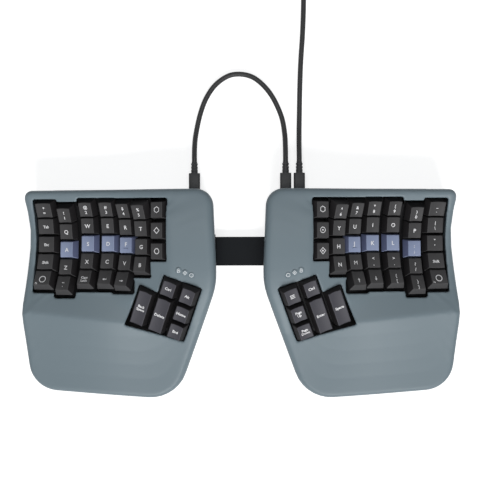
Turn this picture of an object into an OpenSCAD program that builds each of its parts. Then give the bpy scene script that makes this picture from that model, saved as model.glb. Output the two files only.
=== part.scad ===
// Ergonomic split keyboard: two contoured halves with concave key wells,
// thumb clusters and palm rests, a bridge plate between them, a link cable
// from half to half and a host cable that leaves the right half.
// Millimetres, +Z up, +Y to the rear, X = 0 midway between the halves.
// The right half is modelled and mirrored for the left one.

/* [Case] */
// clear distance between the inner edges of the two halves
half_gap = 43.6; // [38:0.2:60]
// thickness of the moulded top and bottom shells
wall = 2.4; // [1.8:0.1:3]
// thickness of the bottom case floor
floor_t = 2.5; // [2:0.1:4]
// height of the seam between top and bottom case
seam_z = 9; // [8:0.5:11]
// how far the side walls lean in from the rim to the seam
draft = 2.5; // [1:0.1:4]
// clearance between parts that are set into one another
fit = 0.2; // [0.1:0.05:0.3]

/* [Feet and screws] */
// height of a rubber foot below the floor
foot_h = 2; // [1.5:0.1:3]
// diameter of a rubber foot
foot_d = 12; // [8:0.5:14]
// depth of the recess a foot is glued into
foot_seat = 0.8; // [0.4:0.1:1.2]
// shank diameter of a case screw
screw_d = 3; // [2.5:0.1:3.5]
// head diameter of a case screw
screw_head_d = 5.6; // [5:0.1:6]
// head height of a case screw
screw_head_h = 1.4; // [1:0.1:1.8]
// length of a case screw under its head
screw_l = 12; // [10:0.5:14]
// outside diameter of a screw post
post_d = 8; // [7:0.5:9]

/* [Keys] */
// distance between neighbouring keys
pitch = 19.05; // [18.8:0.05:19.3]
// width of a keycap of the well at its skirt
cap_width = 17.4; // [16.8:0.1:17.6]
// clearance between the skirts of neighbouring keycaps in a column
cap_gap = 1.65; // [1.4:0.05:2.2]
// width of a single keycap at its top
cap_top = 12.4; // [11.5:0.1:13.5]
// height of a keycap
cap_h = 8.5; // [7.5:0.1:9.5]
// keycap wall
cap_wall = 1.3; // [1:0.1:1.5]
// radius of the finger dish
dish_r = 26; // [18:1:40]
// travel of a key
travel = 4; // [3:0.1:4]
// height of the skirt above the plate at rest
skirt_gap = 5; // [4.8:0.1:5.6]
// side of a switch hole
hole = 14; // [13.8:0.1:14.4]
// thickness of the switch plates
plate_t = 1.5; // [1.2:0.1:2]
// width of the switch stem
stem_w = 6.4; // [5.5:0.1:7]

/* [Tent legs] */
// length of a tent leg from hinge to tip
leg_l = 56; // [45:1:60]
// width of a tent leg
leg_w = 42; // [30:1:46]
// thickness of a tent leg
leg_t = 3.6; // [3:0.1:4.4]
// web left over the finger recess of a tent leg
leg_web = 1.8; // [1.2:0.1:2.4]
// diameter of a hinge pin
pin_d = 3; // [2.5:0.1:4]
// clearance between a hinge pin and its bores
pin_fit = 0.1; // [0.05:0.05:0.2]
// diameter of a tent release button
button_d = 9; // [7:0.5:11]

/* [Bridge] */
// width of the bridge plate, front to rear
bridge_w = 28; // [20:1:32]
// thickness of the bridge plate
bridge_t = 3; // [2.5:0.1:3.4]
// how far the bridge plate reaches under each half
bridge_lap = 20; // [14:1:22]

/* [Cables] */
// diameter of the cables
cable_d = 5; // [4:0.1:5.6]
// width of a socket plug body
plug_w = 10.8; // [10:0.1:11.6]
// height of a socket plug body
plug_h = 6.6; // [6:0.1:8]
// length of a socket plug body
plug_l = 18; // [16:0.5:24]
// length of a strain relief
relief_l = 11; // [8:0.5:14]
// height of the sockets above the desk
socket_z = 13.5; // [13:0.1:15]
// turns in each of the two layers of the coil
coil_turns = 4.5; // [3.5:1:5.5]
// distance between neighbouring turns of the coil
coil_pitch = 5.8; // [5.6:0.1:6.6]

/* [Hidden] */
eps = 0.01;
inner_x = half_gap / 2;
// rear and front edges of a half, from the rows of the well and the palm rest
rear_y = 2 * pitch + 61.7;
front_l = 99.9;
// length of a single keycap at its skirt, and width of a thumb keycap
cap_base = pitch - cap_gap;

// plan outline of the right half: corner points and corner radii
corners = [
  [inner_x + 183.2, rear_y, 7],
  [inner_x + 3, rear_y + 1, 16.5],
  [inner_x - 0.6, 11, 64],
  [inner_x + 40.3, -front_l - 1.8, 36],
  [inner_x + 180, 9 - front_l, 28],
  [inner_x + 186.4, -17, 92],
  [inner_x + 177.5, 63, 130]
];
step_max = 14;

function unit(v) = v / norm(v);
function turn(v, a) = [v.x * cos(a) - v.y * sin(a), v.x * sin(a) + v.y * cos(a)];
function xy(p) = [p.x, p.y];
function cross2(a, b) = a.x * b.y - a.y * b.x;
function bend(i) =
  let (n = len(corners),
       a = unit(xy(corners[i]) - xy(corners[(i + n - 1) % n])),
       b = unit(xy(corners[(i + 1) % n]) - xy(corners[i])))
  [a, b, atan2(cross2(a, b), a * b), corners[i][2] * abs(tan(atan2(cross2(a, b), a * b) / 2))];
// points of one rounded corner, each with its outward normal
function arc(i, fine) =
  let (b = bend(i), s = sign(b[2]), r = corners[i][2],
       start = xy(corners[i]) - b[0] * b[3],
       n0 = [b[0].y, -b[0].x],
       c = start - n0 * r * s,
       m = max(2, ceil(abs(b[2]) / fine)))
  [for (k = [0:m]) let (n = turn(n0, b[2] * k / m)) [c.x + n.x * r * s, c.y + n.y * r * s, n.x, n.y]];
// points along the straight run that follows a corner
function run(i) =
  let (n = len(corners), j = (i + 1) % n, a = bend(i), b = bend(j),
       p = xy(corners[i]) + a[1] * a[3], q = xy(corners[j]) - b[0] * b[3],
       m = ceil(norm(q - p) / step_max), nr = [a[1].y, -a[1].x])
  m < 2 ? [] : [for (k = [1:m - 1]) let (w = p + (q - p) * k / m) [w.x, w.y, nr.x, nr.y]];
outline = [for (i = [0:len(corners) - 1]) each concat(arc(i, 11), run(i))];
function inset(d) = [for (p = outline) [p.x - p[2] * d, p.y - p[3] * d]];

// height of the top surface: control heights from front to crest and from
// crest to rear along the inner, middle and outer lines of the half
palm_z = [[17, 21, 31], [19, 24.5, 38], [17, 22, 34]];
rise_z = [[31, 55, 58, 49], [38, 28, 30, 44], [34, 23, 21, 42]];
mid_x = inner_x + 106;
in_x = inner_x + 36;
out_x = inner_x + 183;
crest_out = -15;
crest_slope = 0.105;
front_slope = 0.077;
function clamp01(t) = min(1, max(0, t));
function ease(t) = let (c = clamp01(t)) c * c * (3 - 2 * c);
function bez2(c, t) = c[0] * (1 - t) * (1 - t) + 2 * c[1] * t * (1 - t) + c[2] * t * t;
function bez3(c, t) =
  c[0] * pow(1 - t, 3) + 3 * c[1] * t * pow(1 - t, 2) + 3 * c[2] * t * t * (1 - t) + c[3] * pow(t, 3);
function crest_y(x) = crest_out + crest_slope * (x - out_x);
function front_y(x) = -front_l + front_slope * (x - inner_x - 64);
function over_crest(x, y) = y - crest_y(x);
function line_z(i, x, y) =
  let (s = over_crest(x, y))
  s < 0 ? bez2(palm_z[i], clamp01(1 + s / (crest_y(x) - front_y(x))))
        : bez3(rise_z[i], clamp01(s / (rear_y - crest_y(x))));
function top_z(x, y) =
  let (a = ease((mid_x - x) / (mid_x - in_x)), b = ease((x - mid_x) / (out_x - mid_x)))
  a * line_z(0, x, y) + (1 - a - b) * line_z(1, x, y) + b * line_z(2, x, y);
// radius of the rounded rim, by the way the rim faces
function rim_r(n) =
  7 * pow(max(0, -n[0]), 2) + 4 * pow(max(0, n[0]), 2)
  + 5 * pow(max(0, -n[1]), 2) + 4.5 * pow(max(0, n[1]), 2);

// closed block under the top surface, in rings from the seam to the middle
hub = [inner_x + 103, 42];
function ray_point(q, f) = hub + (q - hub) * f;
function crest_part(q) =
  let (a = over_crest(hub.x, hub.y), b = over_crest(q.x, q.y)) b < 0 ? min(0.95, a / (a - b)) : 0.95;
function block_ring(k, off, low, nf, n1, n2) =
  [for (p = outline)
    let (n = [p[2], p[3]], o = [p.x, p.y], r = max(0.9, rim_r(n) - off),
         q = o - n * (off + r), zq = top_z(q.x, q.y) - off * 1.05)
    k == 0 ? [o.x - n.x * (off + draft), o.y - n.y * (off + draft), low] :
    k == 1 ? let (d = off + draft) [o.x - n.x * d, o.y - n.y * d, seam_z] :
    k == 2 ? let (d = off + draft * 0.42)
      [o.x - n.x * d, o.y - n.y * d, seam_z + (zq - r - seam_z) * 0.58] :
    k < 4 + nf ? let (a = 90 * (k - 3) / nf, d = off + r * (1 - cos(a)))
      [o.x - n.x * d, o.y - n.y * d, zq - r * (1 - sin(a))] :
    let (j = k - 3 - nf, c = crest_part(q),
         f = j < n2 ? 1 - (1 - c) * j / n2 : c * (1 - (j - n2) / (n1 + 1)), w = ray_point(q, f))
      [w.x, w.y, top_z(w.x, w.y) - off * 1.05]];
module case_block(off, low, nf, n1, n2) {
  n = len(outline);
  first = off > 0 ? 0 : 1;
  last = 3 + nf + n2 + n1;
  rings = [for (k = [first:last]) each block_ring(k, off, low, nf, n1, n2)];
  m = last - first;
  top = len(rings);
  polyhedron(
    points = concat(rings, [[hub.x, hub.y, top_z(hub.x, hub.y) - off * 1.05]]),
    faces = concat(
      [[for (i = [0:n - 1]) i]],
      [for (k = [0:m - 1], i = [0:n - 1]) let (j = (i + 1) % n)
        [k * n + i, (k + 1) * n + i, (k + 1) * n + j]],
      [for (k = [0:m - 1], i = [0:n - 1]) let (j = (i + 1) % n)
        [k * n + i, (k + 1) * n + j, k * n + j]],
      [for (i = [0:n - 1]) let (j = (i + 1) % n) [m * n + i, top, m * n + j]]),
    convexity = 10);
}

// columns of the key well, outer one first: plate centre at the home row
// [across, front to rear, height], outward lean
columns = [
  [inner_x + 160.2, 48.5, 13.5, 13],
  [inner_x + 140.6, 43.5, 15, 13],
  [inner_x + 120.4, 49, 14.5, 13],
  [inner_x + 101, 49, 15.5, 13],
  [inner_x + 81.8, 47.5, 20, 21],
  [inner_x + 66.2, 46, 28.8, 21],
  [inner_x + 49.7, 61.5, 36.3, 27]
];
rows_in = [5, 5, 5, 5, 5, 4, 3];
row_lean = [25, 9, -2, -15, -28];
row_pitch = pitch + 0.35;
wide_more = 3.2;
function chord(r) = (row_lean[r] + row_lean[r + 1]) / 2;
function row_y(r) =
  r == 2 ? 0 : r < 2 ? row_y(r + 1) + row_pitch * cos(chord(r))
  : row_y(r - 1) - row_pitch * cos(chord(r - 1));
function row_z(r) =
  r == 2 ? 0 : r < 2 ? row_z(r + 1) + row_pitch * sin(chord(r))
  : row_z(r - 1) - row_pitch * sin(chord(r - 1));
function flat(c) = c == 6;
function key_y(c, r) = flat(c) ? (1 - r) * (pitch + 0.25) : row_y(r);
function key_z(c, r) = flat(c) ? 0 : row_z(r);
function key_lean(c, r) = flat(c) ? 0 : row_lean[r];
function cap_w(c) = c == 0 ? cap_width + wide_more : cap_width;
module at_column(c) translate([columns[c].x, columns[c].y, columns[c].z])
  rotate([0, columns[c][3], 0]) children();
module at_key(c, r) at_column(c) translate([0, key_y(c, r), key_z(c, r)])
  rotate([key_lean(c, r), 0, 0]) children();

// thumb cluster: centre of its plate, turn and tilt, keys as [across, along, length] in key units
thumb_at = [inner_x + 48.2, -6.4, 32.4];
thumb_turn = 20;
thumb_tilt = [20, 5];
thumb_keys = [[1, -0.5, 2], [0, -0.5, 2], [0, 1, 1], [-1, 1, 1], [-1, 0, 1], [-1, -1, 1]];
module at_thumb() translate(thumb_at) rotate([0, 0, thumb_turn]) rotate([thumb_tilt[0], 0, 0])
  rotate([0, thumb_tilt[1], 0]) children();
module at_thumb_key(k) at_thumb()
  translate([thumb_keys[k].x * pitch, thumb_keys[k].y * pitch, 0]) children();

// key pieces, drawn with the plate top at zero
top_l = cap_top + 1.2;
ceiling = skirt_gap + cap_h - 1.9;
body_w = hole - 2 * fit;
body_h = 4.4;
hood_w = 10.2;
hood_z = min(skirt_gap + 1.2, ceiling - travel - 0.6);
step_w = cap_width - 2 * cap_wall - 2.3;
step_l = cap_base - 2 * cap_wall - 2.3;
step_z = 3;
flange_w = 15.2;
flange_z = min(0.8, skirt_gap - travel - fit);
module taper_box(w0, l0, w1, l1, z0, z1) {
  intersection() {
    rotate([90, 0, 0]) linear_extrude(height = l0, center = true)
      polygon([[-w0 / 2, z0], [w0 / 2, z0], [w1 / 2, z1], [-w1 / 2, z1]]);
    rotate([90, 0, 90]) linear_extrude(height = w0, center = true)
      polygon([[-l0 / 2, z0], [l0 / 2, z0], [l1 / 2, z1], [-l1 / 2, z1]]);
  }
}
module keycap(w, l, bump) {
  dw = cap_width - cap_top;
  top_z = skirt_gap + cap_h;
  difference() {
    union() {
      difference() {
        taper_box(w, l, w - dw, l - dw + 1.2, skirt_gap, top_z);
        taper_box(w - 2 * cap_wall, l - 2 * cap_wall, w - dw - 2 * cap_wall, l - dw - 2 * cap_wall + 1.2,
          skirt_gap - eps, ceiling + eps);
      }
      translate([-stem_w / 2, -stem_w / 2 + 0.4, hood_z - travel - 1.6])
        cube([stem_w, stem_w - 0.8, ceiling - hood_z + travel + 2.2]);
      if (bump) translate([-2, -l / 2 + 4.6, top_z - 1.2]) cube([4, 0.8, 1.2]);
    }
    translate([0, bump ? eps : 0, top_z + dish_r * (w - dw) / cap_top - 0.9]) rotate([90, 0, 0])
      difference() {
        cylinder(r = dish_r * (w - dw) / cap_top, h = l + 2, center = true, $fn = 96);
        if (bump) translate([-2, -40, l / 2 - 5.4 - eps]) cube([4, 60, 0.8]);
      }
  }
}
module housing() {
  difference() {
    union() {
      translate([-body_w / 2, -body_w / 2, -body_h]) cube([body_w, body_w, body_h + eps]);
      translate([-flange_w / 2, -flange_w / 2, 0]) cube([flange_w, flange_w, flange_z]);
      translate([-step_w / 2, -step_l / 2, 0]) cube([step_w, step_l, step_z]);
      translate([-hood_w / 2, -hood_w / 2, 0]) cube([hood_w, hood_w, hood_z]);
    }
    translate([-stem_w / 2 - fit, -stem_w / 2 + 0.4 - fit, -4])
      cube([stem_w + 2 * fit, stem_w - 0.8 + 2 * fit, 20]);
  }
}
module well_keys(row, cols) for (c = cols) at_key(c, row) keycap(cap_w(c), cap_base, false);

// openings of the top case: front and rear ends of the lines between the
// outer columns, then the room before and behind the keys of each column
slot_line = [[inner_x + 176, inner_x + 173.6], [inner_x + 154.4, inner_x + 151.2],
  [inner_x + 134.6, inner_x + 131.2], [inner_x + 114, inner_x + 112], [inner_x + 95.8, inner_x + 95.8]];
slot_waist = [inner_x + 172.3, 54];
front_room = [8.4, 8.4, 8, 8.4, 8.5, 9.5, 9.8];
rear_room = [4.8, 7.4, 5.3, 5.3, 6.6, 8.1, 11.2];
function slot_front(c) = columns[c].y + key_y(c, rows_in[c] - 1) - front_room[c];
function slot_rear(c) = columns[c].y + key_y(c, 0) + rear_room[c];
slot_r = 1.2;
slot_edge = cap_width / 2 + 0.6;
lap = 0.4;
module slot(p) hull() for (q = p) translate([q.x, q.y, seam_z]) cylinder(r = slot_r, h = 80, $fn = 12);
module column_slot(c) {
  f = slot_front(c) + slot_r;
  g = slot_rear(c) - slot_r;
  i = slot_r - lap;
  slot([[slot_line[c + 1][0] + i, f], [slot_line[c][0] - i, f],
    [slot_line[c][1] - i, g], [slot_line[c + 1][1] + i, g]]);
}
// over the steeper inner columns the walls of the opening follow the keys' travel
module lean_slot(c) at_column(c)
  hull() for (x = [slot_r - slot_edge, slot_edge + 1.6],
      y = [slot_front(c) + slot_r - columns[c].y, slot_rear(c) - slot_r - columns[c].y])
    translate([x, y, -2]) cylinder(r = slot_r, h = 60, $fn = 12);
module well_opening() {
  f = slot_front(0) + slot_r;
  g = slot_rear(0) - slot_r;
  i = slot_r - lap;
  w = slot_waist;
  x0 = slot_line[1][1] + i;
  slot([[x0, f], [slot_line[0][0] - slot_r, f], [w.x - slot_r, w.y + 1], [x0, w.y + 1]]);
  slot([[x0, w.y - 1], [w.x - slot_r, w.y - 1], [slot_line[0][1] - slot_r, g], [x0, g]]);
  for (c = [1:3]) column_slot(c);
  for (c = [4:6]) lean_slot(c);
}
thumb_edge = cap_base / 2 + 0.8;
thumb_front = 2;
module thumb_slot(x0, x1, y0, y1) at_thumb()
  hull() for (x = [x0 + slot_r, x1 - slot_r], y = [y0 + slot_r, y1 - slot_r]) translate([x, y, -2])
    cylinder(r = slot_r, h = 60, $fn = 12);
module thumb_opening() {
  y0 = -pitch - thumb_edge - thumb_front;
  thumb_slot(-pitch - thumb_edge, thumb_edge, y0, pitch + thumb_edge - 0.4);
  thumb_slot(-thumb_edge, pitch + thumb_edge, y0, thumb_edge - 0.4);
}

// screw posts, feet, indicators and sockets of the right half
posts = [[inner_x + 11, 78], [inner_x + 9.5, 18], [inner_x + 52, -80], [inner_x + 161, -74],
  [inner_x + 171, -32]];
feet = [[inner_x + 22, 84], [inner_x + 164, 84], [inner_x + 160, -54], [inner_x + 72, -84]];
lights = [[inner_x + 23, 19.8], [inner_x + 29, 22], [inner_x + 35, 24.2]];
light_d = 3.6;
light_lean = [18, 0];
socket_x = [44, 57.2];
socket_w = 9;
socket_h = 3.2;
socket_rear = rear_y - 2;
socket_front = socket_rear - 7.8;
board_top = socket_z - socket_h / 2;
board_t = 1.6;
board = [inner_x + 16.4, 46, inner_x + 42, rear_y - 5.2];

// tent leg and its pocket in the floor of the right half
hinge_x = inner_x + 78;
hinge_z = 5.4;
barrel_d = pin_d + 3.4;
pocket_y = leg_w / 2 + 1;
pocket_x0 = hinge_x - leg_l - 1;
pocket_x1 = hinge_x + barrel_d / 2 + 0.8;
pocket_z = hinge_z + barrel_d / 2 + 0.4;
button_at = [inner_x + 13.1, 5.5];
bridge_y = 41.5;
bridge_z = foot_h + 0.2;
bridge_roof = bridge_z + bridge_t + fit;
bridge_screw_x = inner_x + bridge_lap - 7;

module light_at(p) translate([p.x, p.y, top_z(p.x, p.y)])
  rotate([light_lean[0], light_lean[1], 0]) children();
module top_case(sockets) difference() {
  union() {
    difference() {
      case_block(0, seam_z, 4, 2, 5);
      case_block(wall, seam_z - 2, 1, 1, 3);
    }
    for (p = posts) translate([p.x, p.y, seam_z])
      cylinder(d = post_d, h = top_z(p.x, p.y) - seam_z - wall / 2, $fn = 24);
  }
  well_opening();
  thumb_opening();
  for (p = posts) translate([p.x, p.y, seam_z - 1])
    cylinder(d = screw_d + 2 * fit, h = screw_l + foot_h + screw_head_h - seam_z + 3, $fn = 24);
  for (p = lights) light_at(p) translate([0, 0, -8]) cylinder(d = light_d + 2 * fit, h = 20, $fn = 24);
  for (i = [0:sockets - 1]) translate([socket_x[i] - socket_w / 2 - 0.3, 80, socket_z - socket_h / 2 - 0.3])
    cube([socket_w + 0.6, 40, socket_h + 0.6]);
}
module bottom_case() difference() {
  union() {
    difference() {
      translate([0, 0, foot_h]) linear_extrude(height = seam_z - foot_h) polygon(inset(draft));
      translate([0, 0, foot_h + floor_t]) linear_extrude(height = seam_z) polygon(inset(draft + wall));
    }
    for (p = posts) translate([p.x, p.y, foot_h + eps]) cylinder(d = post_d, h = seam_z - foot_h - eps);
    // raised floor over the tent leg, the bridge plate and the board stand-offs
    translate([pocket_x0 - 2, -pocket_y - 2, foot_h + eps])
      cube([pocket_x1 - pocket_x0 + 4, 2 * pocket_y + 4, pocket_z - foot_h + 2]);
    translate([inner_x + draft + eps, bridge_y - bridge_w / 2 - 2.4, foot_h + eps])
      cube([bridge_lap + 2.4, bridge_w + 4.8, bridge_roof - foot_h + 2]);
    for (x = [board[0] + 3, board[2] - 3], y = [board[1] + 16, board[3] - 14])
      translate([x, y, foot_h + 1]) cylinder(d = 4.5, h = board_top - board_t - foot_h - 1);
  }
  translate([pocket_x0, -pocket_y, 0]) cube([pocket_x1 - pocket_x0, 2 * pocket_y, pocket_z]);
  translate([hinge_x, 0, hinge_z]) rotate([90, 0, 0])
    cylinder(d = pin_d + 2 * pin_fit, h = 2 * pocket_y + 3, center = true);
  translate([0, bridge_y - bridge_w / 2 - fit, 0])
    cube([inner_x + bridge_lap + fit, bridge_w + 2 * fit, bridge_roof]);
  translate([bridge_screw_x, bridge_y, 0]) cylinder(d = screw_d + 2 * fit, h = 30);
  for (p = posts) translate([p.x, p.y, 0]) {
    cylinder(d = screw_d + 2 * fit, h = 30);
    cylinder(d = screw_head_d + 2 * fit, h = foot_h + screw_head_h + fit);
  }
  for (p = feet) translate([p.x, p.y, 0]) cylinder(d = foot_d + 2 * fit, h = foot_h + foot_seat);
  translate([button_at.x, button_at.y, 0]) cylinder(d = button_d + 2 * fit, h = 20);
}

// key well: a bent strip with switch holes under each column, rails that
// step from column to column, and legs that stand on the bottom case floor
tile_out = [10.9, 9.9, 9.9, 9.9, 9.7, 8.6, 8.6];
tile_in = [10.3, 10.2, 9.8, 9.8, 9.8, 9.8];
tile_end = cap_width / 2 + 0.2;
tile_flat = hole / 2 + 0.7;
rail_rows = [[0, 4], [0, 4], [0, 4], [1, 3], [0, 3], [2, 2]];
rail_drop = [5.5, 8, 7, 5, 4.5, 2.4];
rail_top = 0.15;
tie_y = 53.8;
// front-to-rear line of a column at a depth under the plate top
function strip_line(c, rows, d, front, rear) =
  [for (r = [rows[1]:-1:rows[0]], v = [r == rows[1] ? -front : -tile_flat, r == rows[0] ? rear : tile_flat])
    [key_y(c, r) + v * cos(key_lean(c, r)) + d * sin(key_lean(c, r)),
     key_z(c, r) + v * sin(key_lean(c, r)) - d * cos(key_lean(c, r))]];
function turned(p) = [for (i = [len(p) - 1:-1:0]) p[i]];
module strip(c, rows, x0, x1, d0, d1, front, rear) at_column(c) translate([x0, 0, 0]) rotate([90, 0, 90])
  linear_extrude(height = x1 - x0)
    polygon(concat(strip_line(c, rows, d0, front, rear), turned(strip_line(c, rows, d1, front, rear))));
well_legs = [[1, 2, -9.2, 2], [1, 4, -9.2, 2], [3, 1, -9.2, 2], [3, 3, -9.2, 2],
  [5, 1, -7.8, 0.8], [5, 3, -7.8, 0.8]];
strip_end = cap_base / 2 - 0.4;
module key_well() difference() {
  union() {
    for (c = [0:6]) strip(c, [0, rows_in[c] - 1], -tile_end, tile_out[c], 0, plate_t, strip_end, strip_end);
    for (c = [0:5]) strip(c, rail_rows[c], -tile_in[c], 0.8 - tile_end, rail_top, rail_drop[c], 6, 4.5);
    strip(5, [0, 3], 7.3, 8.45, rail_top, 5, 6, 4.5);
    for (k = well_legs) well_leg(k[0], k[1], k[2], k[3]);
    // strut that ties the flat inner column to its neighbour
    at_column(6) translate([0, tie_y - columns[6].y - 0.8, -12]) cube([9, 1.6, 11.3]);
    at_column(5) translate([-9, tie_y - columns[5].y - 0.9, -12.2]) cube([9, 1.8, 11.6]);
  }
  for (c = [0:6], r = [0:rows_in[c] - 1]) at_key(c, r) translate([-hole / 2, -hole / 2, -5.5])
    cube([hole, hole, 12]);
}
// a leg straight down from a wall between two columns to the floor
module well_leg(c, r, x, d) {
  lean = columns[c][3];
  px = columns[c].x + x * cos(lean) + (key_z(c, r) - d) * sin(lean);
  py = columns[c].y + key_y(c, r);
  pz = columns[c].z - x * sin(lean) + (key_z(c, r) - d) * cos(lean);
  translate([px - 1.2, py - 2.5, foot_h + floor_t]) cube([2.4, 5, pz - foot_h - floor_t]);
}
module thumb_plate() {
  e = cap_base / 2 + 0.2;
  edge = 0.8;
  difference() {
    union() {
      at_thumb() {
        translate([-pitch - e + edge, -pitch - e, -plate_t])
          cube([pitch + 2 * e - edge, 2 * pitch + 2 * e - edge, plate_t]);
        translate([-e, -pitch - e, -plate_t]) cube([pitch + 2 * e, pitch + 2 * e, plate_t]);
        translate([-pitch - e + edge, -pitch - e, -plate_t - 3]) cube([2 * pitch + 2 * e - edge, 1.4, 3.2]);
        translate([-pitch - e + edge, -pitch - e, -plate_t - 3]) cube([1.4, 2 * pitch + e, 3.2]);
      }
      for (q = thumb_legs) thumb_leg(q.x, q.y);
    }
    for (k = [0:5]) at_thumb_key(k) translate([-hole / 2, -hole / 2, -12]) cube([hole, hole, 24]);
  }
}
thumb_end = pitch + cap_base / 2;
thumb_legs = [[-pitch / 2, thumb_end - 0.75], [1.1 - thumb_end, 5.75 - thumb_end],
  [-pitch / 2, 0.95 - thumb_end], [9.5, 7.5]];
function thumb_place(x, y) =
  let (xl = x * cos(thumb_tilt[1]), zl = -x * sin(thumb_tilt[1]),
       yt = y * cos(thumb_tilt[0]) - zl * sin(thumb_tilt[0]),
       zt = y * sin(thumb_tilt[0]) + zl * cos(thumb_tilt[0]), w = turn([xl, yt], thumb_turn))
  [thumb_at.x + w.x, thumb_at.y + w.y, thumb_at.z + zt];
module thumb_leg(x, y) {
  w = thumb_place(x, y);
  near = 3.2;
  over = w.x > pocket_x0 - near && w.x < pocket_x1 + near && abs(w.y) < pocket_y + near;
  base = over ? pocket_z + 2 + eps : foot_h + floor_t;
  translate([w.x - 1, w.y - 1, base]) cube([2, 2, w.z - plate_t / 2 - base]);
}
module half_switches() {
  for (c = [0:6], r = [0:rows_in[c] - 1]) at_key(c, r) housing();
  for (k = [0:5]) at_thumb_key(k) housing();
}
module half_board() difference() {
  translate([board[0], board[1], board_top - board_t])
    cube([board[2] - board[0], board[3] - board[1], board_t]);
  translate([board[0] - 1, board[3] - 12, 0]) cube([5, 20, 40]);
}
module socket(x) difference() {
  translate([x - socket_w / 2, socket_front, socket_z - socket_h / 2])
    cube([socket_w, socket_rear - socket_front, socket_h]);
  translate([x - socket_w / 2 + 0.25, socket_front + 1.2, socket_z - socket_h / 2 + 0.25])
    cube([socket_w - 0.5, 20, socket_h - 0.5]);
}
module half_screws() for (p = posts) translate([p.x, p.y, foot_h]) {
  cylinder(d = screw_head_d, h = screw_head_h);
  cylinder(d = screw_d, h = screw_head_h + screw_l);
}
module bridge_screw() translate([bridge_screw_x, bridge_y, bridge_z]) {
  cylinder(d = screw_head_d, h = screw_head_h);
  cylinder(d = screw_d, h = bridge_roof - bridge_z + 1.8);
  translate([0, 0, bridge_roof - bridge_z + 2 + fit]) cylinder(d = screw_head_d + 1, h = 2, $fn = 6);
  translate([0, 0, bridge_roof - bridge_z]) cylinder(d = screw_d, h = 4);
}
module tent_leg() {
  difference() {
    union() {
      translate([hinge_x - leg_l, -leg_w / 2, hinge_z - leg_t / 2 - 0.6]) cube([leg_l, leg_w, leg_t]);
      translate([hinge_x, 0, hinge_z]) rotate([90, 0, 0]) cylinder(d = barrel_d, h = leg_w, center = true);
    }
    translate([hinge_x, 0, hinge_z]) rotate([90, 0, 0])
      cylinder(d = pin_d + 2 * pin_fit, h = leg_w + 2, center = true);
    translate([hinge_x - leg_l + 14, -leg_w / 2 + 8, hinge_z - leg_t / 2 - 0.6 - eps])
      cube([leg_l - 30, leg_w - 16, leg_t - leg_web]);
  }
}
module hinge_pin() translate([hinge_x, 0, hinge_z]) rotate([90, 0, 0])
  cylinder(d = pin_d, h = 2 * pocket_y + 2.6, center = true);
module tent_button() translate([button_at.x, button_at.y, 0]) {
  translate([0, 0, foot_h - 1]) cylinder(d = button_d, h = floor_t + 3);
  translate([0, 0, foot_h + floor_t]) cylinder(d = button_d + 2, h = 1.4);
}

module right_top_case() color([0.45, 0.51, 0.55]) top_case(2);
module left_top_case() color([0.45, 0.51, 0.55]) mirror([1, 0, 0]) top_case(1);
module right_bottom_case() color([0.1, 0.1, 0.11]) bottom_case();
module left_bottom_case() color([0.1, 0.1, 0.11]) mirror([1, 0, 0]) bottom_case();
module right_key_well() color([0.05, 0.05, 0.06]) key_well();
module left_key_well() color([0.05, 0.05, 0.06]) mirror([1, 0, 0]) key_well();
module right_thumb_plate() color([0.05, 0.05, 0.06]) thumb_plate();
module left_thumb_plate() color([0.05, 0.05, 0.06]) mirror([1, 0, 0]) thumb_plate();
module key_switches() color([0.12, 0.12, 0.13]) {
  half_switches();
  mirror([1, 0, 0]) half_switches();
}
module circuit_boards() color([0.05, 0.3, 0.15]) {
  half_board();
  mirror([1, 0, 0]) half_board();
}
module usb_sockets() color([0.75, 0.75, 0.77]) {
  for (i = [0:1]) socket(socket_x[i]);
  socket(-socket_x[0]);
}
module indicator_lenses() color([0.95, 0.95, 0.95]) for (m = [0, 1]) mirror([m, 0, 0])
  for (p = lights) light_at(p) translate([0, 0, -wall]) cylinder(d = light_d, h = wall + 0.15);
module rubber_feet() color([0.08, 0.08, 0.08]) for (m = [0, 1]) mirror([m, 0, 0])
  for (p = feet) translate([p.x, p.y, 0]) cylinder(d = foot_d, h = foot_h + foot_seat);
module case_screws() color([0.6, 0.6, 0.62]) {
  half_screws();
  mirror([1, 0, 0]) half_screws();
}
module bridge_plate() color([0.04, 0.04, 0.045]) difference() {
  union() {
    translate([-inner_x - bridge_lap, bridge_y - bridge_w / 2, bridge_z])
      cube([2 * (inner_x + bridge_lap), bridge_w, bridge_t]);
    translate([-inner_x + 1 - draft + fit, bridge_y - bridge_w / 2, bridge_z])
      cube([2 * (inner_x - 1 + draft - fit), bridge_w, bridge_t + 2.6]);
  }
  for (s = [-1, 1]) translate([s * bridge_screw_x, bridge_y, 0]) {
    cylinder(d = screw_d + 2 * fit, h = 30);
    cylinder(d = screw_head_d + 2 * fit, h = bridge_z + screw_head_h);
  }
}
module bridge_screws() color([0.6, 0.6, 0.62]) for (m = [0, 1]) mirror([m, 0, 0]) bridge_screw();
module tent_hinge_pins() color([0.7, 0.7, 0.72]) for (m = [0, 1]) mirror([m, 0, 0]) hinge_pin();
module right_tent_leg() color([0.09, 0.09, 0.1]) tent_leg();
module left_tent_leg() color([0.09, 0.09, 0.1]) mirror([1, 0, 0]) tent_leg();
module right_tent_button() color([0.3, 0.3, 0.32]) tent_button();
module left_tent_button() color([0.3, 0.3, 0.32]) mirror([1, 0, 0]) tent_button();

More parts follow.
